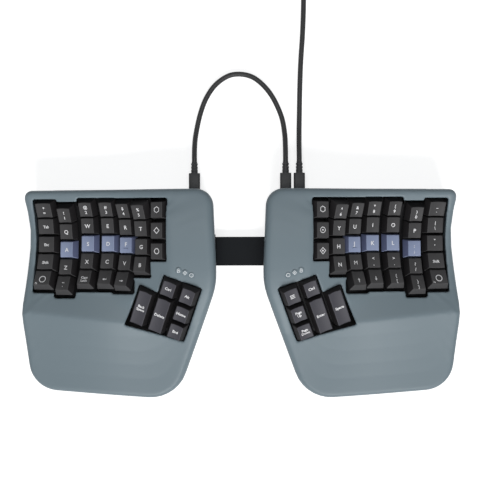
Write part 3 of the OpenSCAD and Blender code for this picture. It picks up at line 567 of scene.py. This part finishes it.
def ring(sides, radius, line, turn=0.0, y=0.0):
    """A printed outline: a circle, or a plain figure with few sides."""
    bm = bmesh.new()
    bmesh.ops.create_circle(bm, cap_ends=True, segments=sides, radius=radius)
    if line:
        disc = bm.faces[:]
        bmesh.ops.inset_region(
            bm, faces=disc, thickness=line, depth=0, use_boundary=True, use_even_offset=True
        )
        bmesh.ops.delete(bm, geom=disc, context="FACES_ONLY")
    place = Matrix.Translation((0, y, 0)) @ Matrix.Rotation(turn, 4, "Z")
    bmesh.ops.transform(bm, matrix=place, verts=bm.verts)
    return as_mesh("outline", bm)


def stroke(bm, width, height, x=0.0, y=0.0):
    """A printed bar."""
    verts = bmesh.ops.create_grid(bm, x_segments=1, y_segments=1, size=0.5)["verts"]
    place = Matrix.Translation((x, y, 0)) @ Matrix.Diagonal((width, height, 1, 1))
    bmesh.ops.transform(bm, matrix=place, verts=verts)


def arrow(turn):
    """A printed arrow that points left before it is turned."""
    bm = bmesh.new()
    tip = bmesh.ops.create_circle(bm, cap_ends=True, segments=3, radius=1.3)["verts"]
    place = Matrix.Translation((-0.9, 0, 0)) @ Matrix.Rotation(math.pi / 2, 4, "Z")
    bmesh.ops.transform(bm, matrix=place, verts=tip)
    stroke(bm, 2.4, 0.7, x=0.9)
    bmesh.ops.rotate(bm, matrix=Matrix.Rotation(turn, 3, "Z"), verts=bm.verts)
    return as_mesh("arrow", bm)


def bars():
    """A printed menu sign: three short bars."""
    bm = bmesh.new()
    for k in (-1, 0, 1):
        stroke(bm, 4.4, 0.7, y=1.4 * k)
    return as_mesh("bars", bm)


def letter(text):
    """The legend of a letter key."""
    return [word(text, letter_size)]


def pair(upper, lower):
    """The legend of a key with two signs, one above the other."""
    return [word(upper, pair_size, pair_half), word(lower, pair_size, -pair_half)]


def small(text, size=small_size):
    """The legend of a key with a name, in one line or two."""
    return [word(text, size)]


def layer_key():
    """The plain ring and the small word of the outer front keys."""
    return [ring(32, 3.4, 0.8, y=0.6), word("Fn", 2.2, -3.8, -5.4)]


def lowered(prints, way):
    """Legends printed nearer to the front edge of a cap."""
    for flat in prints:
        flat.transform(Matrix.Translation((0, -way, 0)))
    return prints


def key_group(name, keys, finish):
    """The caps of one group and their legends, as one piece on their body."""
    bm = bmesh.new()
    for kind, place, prints in keys:
        form, width = cap_forms[kind]
        put(bm, form, place)
        for flat in prints:
            for v in flat.vertices:
                v.co.z = dish(v.co.x, width) + ink_lift
            for face in flat.polygons:
                face.material_index = 1
            put(bm, flat, place)
    bmesh.ops.scale(bm, vec=(mm, mm, mm), verts=bm.verts)
    finishes = (finish[0], legend_ink, finish[1])
    add_piece(name + "_caps", bm, finishes, name, name)


quarter = math.pi / 2
legend_drop = (0.4, 0.6, 0.6, 1.2, 2.0)
bump_lift = 1.0
legends = {
    "left": (
        (
            pair("+", "="), pair("!", "1"), pair("@", "2"),
            pair("#", "3"), pair("$", "4"), pair("%", "5"),
        ),
        (small("Tab"), letter("Q"), letter("W"), letter("E"), letter("R"), letter("T")),
        (small("Esc"), letter("A"), letter("S"), letter("D"), letter("F"), letter("G")),
        (small("Shift"), letter("Z"), letter("X"), letter("C"), letter("V"), letter("B")),
        (
            layer_key(), pair("~", "`"), small("Caps\nLock", tight_size),
            [arrow(0)], [arrow(2 * quarter)],
        ),
    ),
    "right": (
        (
            pair("_", "-"), pair(")", "0"), pair("(", "9"),
            pair("*", "8"), pair("&", "7"), pair("^", "6"),
        ),
        (pair("|", "\\"), letter("P"), letter("O"), letter("I"), letter("U"), letter("Y")),
        (pair('"', "'"), pair(":", ";"), letter("L"), letter("K"), letter("J"), letter("H")),
        (
            small("Shift"), pair("?", "/"), pair(">", "."),
            pair("<", ","), letter("M"), letter("N"),
        ),
        (
            layer_key(), pair("}", "]"), pair("{", "["),
            [arrow(quarter)], [arrow(-quarter)],
        ),
    ),
}
side_prints = {
    "left": ([ring(6, 3.1, 0.6)], [ring(4, 3.3, 0.7)], [ring(24, 2.8, 0.7)]),
    "right": (
        [ring(6, 3.1, 0.6)],
        [ring(24, 2.9, 0.6), ring(12, 0.8, 0)],
        [ring(4, 3.4, 0.6), ring(4, 1.1, 0)],
    ),
}
thumb_prints = {
    "left": (
        small("Back\nSpace", 3.4), small("Delete"), small("Ctrl"),
        small("Alt"), small("Home"), small("End"),
    ),
    "right": (
        small("Space"), small("Enter"), small("Ctrl"),
        [bars()], small("Page\nUp", tight_size), small("Page\nDown", tight_size),
    ),
}
thumb_keys = (
    ("long", 1, -0.5), ("long", 0, -0.5),
    ("single", 0, 1), ("single", -1, 1), ("single", -1, 0), ("single", -1, -1),
)
row_groups = (
    ("row1_outer_keys", 0, 0, 3),
    ("row1_inner_keys", 0, 4, 5),
    ("row2_outer_keys", 1, 0, 3),
    ("row2_inner_keys", 1, 4, 5),
    ("row3_outer_key", 2, 0, 0),
    ("home_keys", 2, 1, 3),
    ("home_index_key", 2, 4, 4),
    ("row3_inner_key", 2, 5, 5),
    ("row4_outer_keys", 3, 0, 3),
    ("row4_inner_keys", 3, 4, 5),
    ("row5_outer_keys", 4, 0, 3),
    ("row5_inner_key", 4, 4, 4),
)


def row_key(side, hand, row, column):
    """A key of a row: its cap, its place and its legend."""
    kind, drop = "wide" if column == 0 else "single", legend_drop[row]
    if (row, column) == (home_row, index_column):
        kind, drop = "home", drop - bump_lift
    return kind, well_place(hand, column, row), lowered(legends[side][row][column], drop)


for side, hand in (("left", -1), ("right", 1)):
    for group, row, first, last in row_groups:
        keys = [row_key(side, hand, row, c) for c in range(first, last + 1)]
        key_group(side + "_" + group, keys, lavender if "home" in group else charcoal)
    keys = [("single", well_place(hand, side_column, r), side_prints[side][r]) for r in range(3)]
    key_group(side + "_side_keys", keys, charcoal)
    keys = [
        (kind, thumb_place(hand, across, along), prints)
        for (kind, across, along), prints in zip(thumb_keys, thumb_prints[side])
    ]
    key_group(side + "_thumb_outer_key", keys[:1], thumb_grey)
    key_group(side + "_thumb_middle_key", keys[1:2], thumb_grey)
    key_group(side + "_thumb_small_keys", keys[2:], thumb_grey)

# Indicators: light pipes that end in small covers in the colour of the case,
# set flush above each thumb cluster, each with a white sign printed on it.
lens_tint = plastic("lens_tint", (0.14, 0.18, 0.2), 0.46, change=0.05, specular=0.4)
sign_white = plastic("sign_white", (0.74, 0.77, 0.79), 0.5, change=0.04)
pipe_drop = 0.14 * mm
pipe_r, cover_r, cover_rim, cover_dip = 2.9, 3.0, 0.35, 0.3
cover_lift, sign_lift = 0.03, 0.06
cover_bm = bmesh.new()
bmesh.ops.create_circle(cover_bm, cap_ends=True, segments=40, radius=cover_r)
bmesh.ops.inset_region(
    cover_bm, faces=cover_bm.faces[:], thickness=cover_rim, depth=0, use_boundary=True
)
outer = [v for v in cover_bm.verts if v.co.length > cover_r - 0.1]
bmesh.ops.translate(cover_bm, vec=(0, 0, -cover_dip), verts=outer)
for face in cover_bm.faces:
    face.smooth = True
    face.material_index = 1
cover = as_mesh("cover", cover_bm)
indicators = (
    (44.8, 19.8, [ring(24, 1.95, 0.45)]),
    (50.8, 22.0, [ring(4, 2.1, 0.42), ring(8, 0.5, 0)]),
    (56.8, 24.2, [ring(16, 1.05, 0.35, y=0.85), ring(4, 1.75, 0.45, turn=math.pi / 4, y=-0.75)]),
)
pipes = merged("indicator_lenses")
bmesh.ops.translate(pipes, vec=(0, 0, -pipe_drop), verts=pipes.verts)
for face in pipes.faces:
    face.material_index = 2
pipe_points = [v.co.copy() for v in pipes.verts]
signs = bmesh.new()
signs.from_mesh(as_mesh("light_pipes", pipes))
for hand in (-1, 1):
    for x, y, prints in indicators:
        spot = Vector((hand * x, y)) * mm
        pipe = [p for p in pipe_points if (p.xy - spot).length < pipe_r * mm]
        middle = sum(pipe, Vector()) / len(pipe)
        top = [p for p in pipe if p.z > middle.z]
        end = sum(top, Vector()) / len(top)
        way = (end - middle).to_track_quat("Z", "Y").to_matrix().to_4x4()
        stand = Matrix.Translation(end) @ way
        for flat, lift in [(cover, cover_lift)] + [(mark, sign_lift) for mark in prints]:
            raised = Matrix.Translation((0, 0, lift * mm)) @ Matrix.Scale(mm, 4)
            put(signs, flat, stand @ raised)
add_piece(
    "indicator_signs", signs, (sign_white, case_paint, lens_tint), "keyboard",
    "indicator_lenses",
)

# Bridge plate: a flat black moulding that is screwed under both halves and
# sets the gap between them.
bridge_black = plastic(
    "bridge_black", (0.006, 0.0075, 0.0095), 0.5, grain=1500.0, change=0.2, depth=0.05,
    specular=0.1,
)
dress("bridge_plate", bridge_black)

# Tent legs, release buttons and feet: black mouldings that fold and slide in
# the trays, and rubber pads glued under the halves.
leg_black = plastic("leg_black", (0.016, 0.016, 0.017), 0.5, change=0.2)
foot_rubber = plastic(
    "foot_rubber", (0.013, 0.013, 0.013), 0.75, grain=900.0, change=0.25, depth=0.06
)
for side in ("left", "right"):
    dress(side + "_tent_leg", leg_black, eased=0.25)
    dress(side + "_tent_button", leg_black, eased=0.25)
dress("rubber_feet", foot_rubber, eased=0.6)

# Hinge pins and socket shells: plain steel; the pins are turned and carry the
# tent legs, the shells are folded and soldered to the boards.
plain_steel = plastic(
    "plain_steel", (0.55, 0.55, 0.57), 0.32, grain=700.0, change=0.06, depth=0.01, metal=1.0
)
for name in ("tent_hinge_pins", "usb_sockets"):
    dress(name, plain_steel)

# Screws: black-plated steel with eased heads and a cross recess, driven from
# below into the posts of the cases and into nuts above the bridge.
screw_plate = plastic(
    "screw_plate", (0.13, 0.13, 0.135), 0.38, grain=900.0, change=0.08, depth=0.01, metal=1.0
)
head_edge, head_near, head_reach = 0.4 * mm, 3.5 * mm, 3 * mm
slot_half, slot_reach, slot_deep = 0.42 * mm, 1.55 * mm, 0.8 * mm
level = 0.01 * mm


def screws(name, node):
    """The screws of a CAD node, with the drive cut into each head."""
    bm = merged(node)
    low = min(v.co.z for v in bm.verts)

    def low_faces():
        return [
            (f, f.calc_center_median())
            for f in bm.faces
            if f.normal.z < -0.99 and abs(f.calc_center_median().z - low) < level
        ]

    rims = [
        e
        for e in bm.edges
        if e.calc_face_angle(0) > 1 and max(v.co.z for v in e.verts) < low + level
    ]
    soften(bm, rims, head_edge, 3)
    heads = []
    for face, spot in low_faces():
        near = [corners for place, corners in heads if (place - spot.xy).length < head_near]
        if near:
            near[0].extend(face.verts)
        else:
            heads.append((spot.xy, list(face.verts)))
    for _, corners in heads:
        xs = [v.co.x for v in corners]
        ys = [v.co.y for v in corners]
        middle = Vector(((min(xs) + max(xs)) / 2, (min(ys) + max(ys)) / 2, low))

        def head_faces():
            return [f for f, spot in low_faces() if (spot - middle).length < head_reach]

        for axis in (Vector((1, 0, 0)), Vector((0, 1, 0))):
            for cut in (-slot_reach, -slot_half, slot_half, slot_reach):
                faces = head_faces()
                edges = list(dict.fromkeys(e for f in faces for e in f.edges))
                verts = list(dict.fromkeys(v for f in faces for v in f.verts))
                bmesh.ops.bisect_plane(
                    bm, geom=faces + edges + verts, plane_co=middle + axis * cut, plane_no=axis
                )
        cross = []
        for face in head_faces():
            x, y, _ = face.calc_center_median() - middle
            if min(abs(x), abs(y)) < slot_half and max(abs(x), abs(y)) < slot_reach:
                cross.append(face)
        pushed = bmesh.ops.extrude_face_region(bm, geom=cross)["geom"]
        floor = [g for g in pushed if isinstance(g, bmesh.types.BMVert)]
        bmesh.ops.translate(bm, vec=(0, 0, slot_deep), verts=floor)
        bmesh.ops.delete(bm, geom=[f for f in cross if f.is_valid], context="FACES_ONLY")
    bmesh.ops.recalc_face_normals(bm, faces=bm.faces)
    shade(bm, fine_crease)
    add_piece(name, bm, (screw_plate,), "keyboard", node)


screws("case_screw_set", "case_screws")
screws("bridge_screw_set", "bridge_screws")

# Circuit boards: green glass-fibre boards on posts behind the sockets, one in
# each half.
board_green = plastic("board_green", (0.01, 0.07, 0.03), 0.35, change=0.15)
dress("circuit_boards", board_green)

# Cables: black round leads with a smooth jacket. The link cable arches from
# half to half; the host cable runs to the rear, its spare length coiled.
jacket = plastic(
    "cable_jacket", (0.014, 0.0145, 0.0155), 0.42, grain=1400.0, change=0.15, depth=0.02,
    specular=0.35,
)
cable_d = 5.0
link_x, host_x = 44.0, 57.2
relief_end = 128.0
socket_z = 13.5
on_desk = cable_d / 2 + 0.2


def lead(name, points, nodes_replaced):
    """A round cable swept smoothly through its route."""
    route = bpy.data.curves.new(name, "CURVE")
    route.dimensions = "3D"
    route.bevel_depth = cable_d / 2 * mm
    route.bevel_resolution = 4
    route.resolution_u = 6
    route.use_fill_caps = True
    line = route.splines.new("BEZIER")
    line.bezier_points.add(len(points) - 1)
    for k, knot in enumerate(line.bezier_points):
        here = Vector(points[k])
        before = Vector(points[max(0, k - 1)])
        after = Vector(points[min(len(points) - 1, k + 1)])
        knot.handle_left_type = knot.handle_right_type = "FREE"
        knot.co = here * mm
        knot.handle_left = (here - (after - before) / 6) * mm
        knot.handle_right = (here + (after - before) / 6) * mm
    cable = bpy.data.objects.new(name, route)
    bpy.context.collection.objects.link(cable)
    route.materials.append(jacket)
    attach(cable, "keyboard")
    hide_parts(*nodes_replaced)
    return cable


def leaving(x):
    """The straight start of a cable in the relief of its plug."""
    return [(x, relief_end + way, socket_z) for way in (0.2, 2.5, 5)]


link_route = leaving(-link_x) + [
    (-44, 144, 9), (-43, 156, 4.5), (-39, 175, on_desk), (-33, 191, on_desk),
    (-24, 204, on_desk), (-12, 212.5, on_desk), (-1, 214.5, on_desk), (10, 212.5, on_desk),
    (19, 207, on_desk), (28, 197.5, on_desk), (35, 186, on_desk), (41, 171, on_desk),
    (43.5, 156, 4.5), (44, 144, 9),
] + leaving(link_x)[::-1]
link_cable = lead("link_lead", link_route, ["link_cable"])

coil_x, coil_y = 102.0, 356.0
coil_turns, coil_pitch = 4.5, 5.8
coil_out = 5.5 * cable_d + coil_pitch * coil_turns / 2
coil_in = coil_out - coil_pitch * coil_turns
coil_dip = 1.4
coil_low = cable_d / 2 + 1.6
coil_end = 2 * coil_turns + 0.25
coil_steps = 222
plug_z = 4.2


def glide(part):
    """A smooth start and stop between 0 and 1."""
    part = min(1.0, max(0.0, part))
    return part * part * (3 - 2 * part)


def coil_point(turn):
    """The coil spirals in on the desk, climbs half a turn and spirals out."""
    if turn < coil_turns:
        radius = coil_out - coil_pitch * turn
    elif turn < coil_turns + 0.5:
        radius = coil_in - coil_dip * math.sin(2 * math.pi * (turn - coil_turns))
    else:
        radius = coil_in + coil_pitch * (turn - coil_turns - 0.5)
    angle = math.radians(180 - 360 * turn)
    rise = coil_pitch * glide((turn - coil_turns) / 0.5)
    x = coil_x + radius * math.cos(angle)
    y = coil_y + radius * math.sin(angle)
    return x, y, coil_low + rise


host_route = leaving(host_x) + [
    (57.3, 145, 9), (57.6, 158, 4), (58, 176, on_desk), (58.5, 200, on_desk),
    (59.5, 226, on_desk), (61.5, 256, on_desk), (62.5, 290, on_desk),
    (coil_x - coil_out, 325, coil_low), (coil_x - coil_out, coil_y - cable_d, coil_low),
]
host_route += [coil_point(coil_end * k / coil_steps) for k in range(coil_steps + 1)]
last_x, last_y, last_z = host_route[-1]
for k in range(1, 8):
    sunk = (plug_z - last_z) * glide((k - 1) / 5)
    host_route.append((last_x + 1.2 * cable_d * k, last_y, last_z + sunk))
host_cable = lead("host_lead", host_route, ["host_cable", "host_coil"])

# Plugs: moulded grips with rounded sides, a steel tongue that enters the
# socket and a ribbed relief that lets the cable bend; the far one is flat.
plug_grip = plastic(
    "plug_grip", (0.018, 0.0195, 0.0215), 0.5, grain=1600.0, change=0.18, depth=0.04,
    specular=0.4,
)
plug_w, plug_h, plug_l, plug_r = 10.8, 6.6, 18.0, 1.9
relief_l, relief_r, relief_thin = 11.0, 3.3, 2.7
tongue_size, tongue_y, tongue_r = (8.3, 6.6, 2.5), -3.1, 1.1
grip_ease = 0.5
soft_crease = math.radians(40)


def grip_block(bm, size, middle, round_r):
    """A grip with rounded long sides and eased ends, its length along Y."""

    def rise(edge):
        return abs(edge.verts[0].co.y - edge.verts[1].co.y)

    verts = box(bm, size, middle)
    edges = dict.fromkeys(e for v in verts for e in v.link_edges)
    rounded = soften(bm, [e for e in edges if rise(e) > size[1] / 2], round_r, 4)
    touched = [v for v in dict.fromkeys(verts + rounded["verts"]) if v.is_valid]
    edges = dict.fromkeys(e for v in touched for e in v.link_edges)
    soften(bm, [e for e in edges if rise(e) < 0.01], grip_ease, 2)


def ribbed_relief(bm, start, length, thick, thin):
    """A tapered sleeve on the cable with three ribs and grooves between them."""
    rib = length / 7
    steps = [(0, start - 1), (thick, start - 1)]
    for k in range(3):
        groove = thick + (thin - thick) * (2 * k + 1) / 7
        steps += [(groove, start + (2 * k + 0.2) * rib), (groove, start + (2 * k + 0.9) * rib)]
        steps += [(thick, start + (2 * k + 1.0) * rib), (thick, start + (2 * k + 1.9) * rib)]
    steps += [(thin, start + 6.2 * rib), (thin, start + length), (0, start + length)]
    verts = [bm.verts.new((r, y, 0)) for r, y in steps]
    edges = [bm.edges.new(ends) for ends in zip(verts, verts[1:])]
    bmesh.ops.spin(
        bm, geom=verts + edges, cent=(0, 0, 0), axis=(0, 1, 0), angle=2 * math.pi, steps=24,
        use_merge=True,
    )
    sleeve = [
        v
        for v in bm.verts
        if math.hypot(v.co.x, v.co.z) < thick + 0.01 and start - 1.01 < v.co.y
    ]
    bmesh.ops.remove_doubles(bm, verts=sleeve, dist=0.001)


def tongue_mesh(size, middle, round_r, finish):
    """A small grip block by itself, with the number of its finish."""
    bm = bmesh.new()
    grip_block(bm, size, middle, round_r)
    for face in bm.faces:
        face.material_index = finish
    return as_mesh("tongue", bm)


def plug_form():
    """One socket plug at the origin, its face at y = 0."""
    bm = bmesh.new()
    grip_block(bm, (plug_w, plug_l, plug_h), (0, plug_l / 2, 0), plug_r)
    ribbed_relief(bm, plug_l, relief_l, relief_r, relief_thin)
    bm.from_mesh(tongue_mesh(tongue_size, (0, tongue_y, 0), tongue_r, 1))
    bmesh.ops.recalc_face_normals(bm, faces=bm.faces)
    shade(bm, soft_crease)
    return as_mesh("plug_form", bm)


def plug_piece(name, forms, node, finishes):
    """A piece made of placed forms, in place of its CAD solid."""
    bm = bmesh.new()
    for form, place in forms:
        put(bm, form, Matrix.Scale(mm, 4) @ Matrix.Translation(place))
    return add_piece(name, bm, finishes, "keyboard", node)


socket_plug = plug_form()
plug_face = relief_end - relief_l - plug_l
link_plugs = plug_piece(
    "link_plug_pair",
    [(socket_plug, (x, plug_face, socket_z)) for x in (-link_x, link_x)],
    "link_plugs", (plug_grip, plain_steel),
)
host_plug = plug_piece(
    "host_plug_grip", [(socket_plug, (host_x, plug_face, socket_z))], "host_plug",
    (plug_grip, plain_steel),
)

far_grip, far_grip_y, far_grip_r = (16, 25, 8), -20.5, 2.2
far_relief_l, far_relief_r = 8, 3.2
far_shell, far_shell_y, far_sheet = (12, 19.6, 4.5), -41.8, 0.3
window_in, window_out = 1.7, 4.1
window_near, window_far = -44, -46.5
far_tongue, far_tongue_at, far_tongue_r = (10.9, 17, 1.6), (0, -41.6, -1.0), 0.3
contact, contact_r, contact_pitch = (1.2, 8, 0.3), 0.05, 2.4
contact_y, contact_z = -45.4, -0.15


def folded_shell():
    """The steel shell of the far plug, open in front, with four windows."""
    shell = bmesh.new()
    box(shell, far_shell, (0, far_shell_y, 0))
    across = [((x, 0, 0), (1, 0, 0)) for x in (-window_out, -window_in, window_in, window_out)]
    along = [((0, y, 0), (0, 1, 0)) for y in (window_far, window_near)]
    for spot, way in across + along:
        geom = shell.verts[:] + shell.edges[:] + shell.faces[:]
        bmesh.ops.bisect_plane(shell, geom=geom, plane_co=spot, plane_no=way)
    open_faces = []
    for face in shell.faces:
        spot = face.calc_center_median()
        window = (
            abs(face.normal.z) > 0.9
            and window_in < abs(spot.x) < window_out
            and window_far < spot.y < window_near
        )
        if window or face.normal.y < -0.9:
            open_faces.append(face)
    bmesh.ops.delete(shell, geom=open_faces, context="FACES")
    bmesh.ops.solidify(shell, geom=shell.faces[:], thickness=far_sheet)
    for face in shell.faces:
        face.material_index = 1
    return as_mesh("folded_shell", shell)


def flat_plug_form():
    """The computer's plug: a broad grip, a folded steel shell and its tongue."""
    bm = bmesh.new()
    grip_block(bm, far_grip, (0, far_grip_y, 0), far_grip_r)
    ribbed_relief(bm, -far_relief_l, far_relief_l, far_relief_r, relief_thin)
    bmesh.ops.recalc_face_normals(bm, faces=bm.faces)
    bm.from_mesh(folded_shell())
    bm.from_mesh(tongue_mesh(far_tongue, far_tongue_at, far_tongue_r, 2))
    for k in (-1.5, -0.5, 0.5, 1.5):
        at = (contact_pitch * k, contact_y, contact_z)
        bm.from_mesh(tongue_mesh(contact, at, contact_r, 3))
    shade(bm, soft_crease)
    bmesh.ops.rotate(bm, matrix=Matrix.Rotation(math.pi / 2, 3, "Z"), verts=bm.verts)
    return as_mesh("flat_plug_form", bm)


tongue_white = plastic("tongue_white", (0.55, 0.56, 0.57), 0.45, change=0.05)
contact_gold = plastic(
    "contact_gold", (0.75, 0.52, 0.2), 0.3, grain=900.0, change=0.06, depth=0.01, metal=1.0
)
computer_plug = plug_piece(
    "computer_plug_grip", [(flat_plug_form(), host_route[-1])], "computer_plug",
    (plug_grip, plain_steel, tongue_white, contact_gold),
)

# Coil tie: a strip of woven hook-and-loop tape closed round the turns of the
# coil, its free end pressed onto the top.
tape_weave = plastic(
    "tape_weave", (0.02, 0.02, 0.022), 0.85, grain=700.0, change=0.35, depth=0.12
)
tape, tape_w, tape_bend = 1.1, 12, 3.2
tape_low, tape_slack, tape_lift = 0.2, 0.4, 0.3
tab_size, tab_back, tab_lift, tab_r = (11.6, 16, 0.9), 14, 0.35, 0.3
tape_inner = math.sqrt((coil_in - cable_d / 2) ** 2 - (tape_w / 2) ** 2) - tape_slack
tape_outer = coil_out + cable_d / 2 + tape_slack
tape_top = coil_low + coil_pitch + cable_d / 2 + tape_lift
bm = bmesh.new()
box(
    bm,
    (tape_w, tape_outer - tape_inner + 2 * tape, tape_top - tape_low + tape),
    (coil_x, coil_y + (tape_inner + tape_outer) / 2, (tape_top + tape_low + tape) / 2),
)
open_sides = [f for f in bm.faces if abs(f.normal.x) > 0.9]
bmesh.ops.delete(bm, geom=open_sides, context="FACES")
corners = [e for e in bm.edges if abs(e.verts[0].co.x - e.verts[1].co.x) > 1]
soften(bm, corners, tape_bend, 5)
bmesh.ops.solidify(bm, geom=bm.faces[:], thickness=tape)
free_end = (coil_x, coil_y + tape_outer - tab_back, tape_top + tape + tab_lift)
grip_block(bm, tab_size, free_end, tab_r)
shade(bm, soft_crease)
coil_tape = plug_piece(
    "coil_tape", [(as_mesh("tape_form", bm), (0, 0, 0))], "coil_tie", (tape_weave,),
)
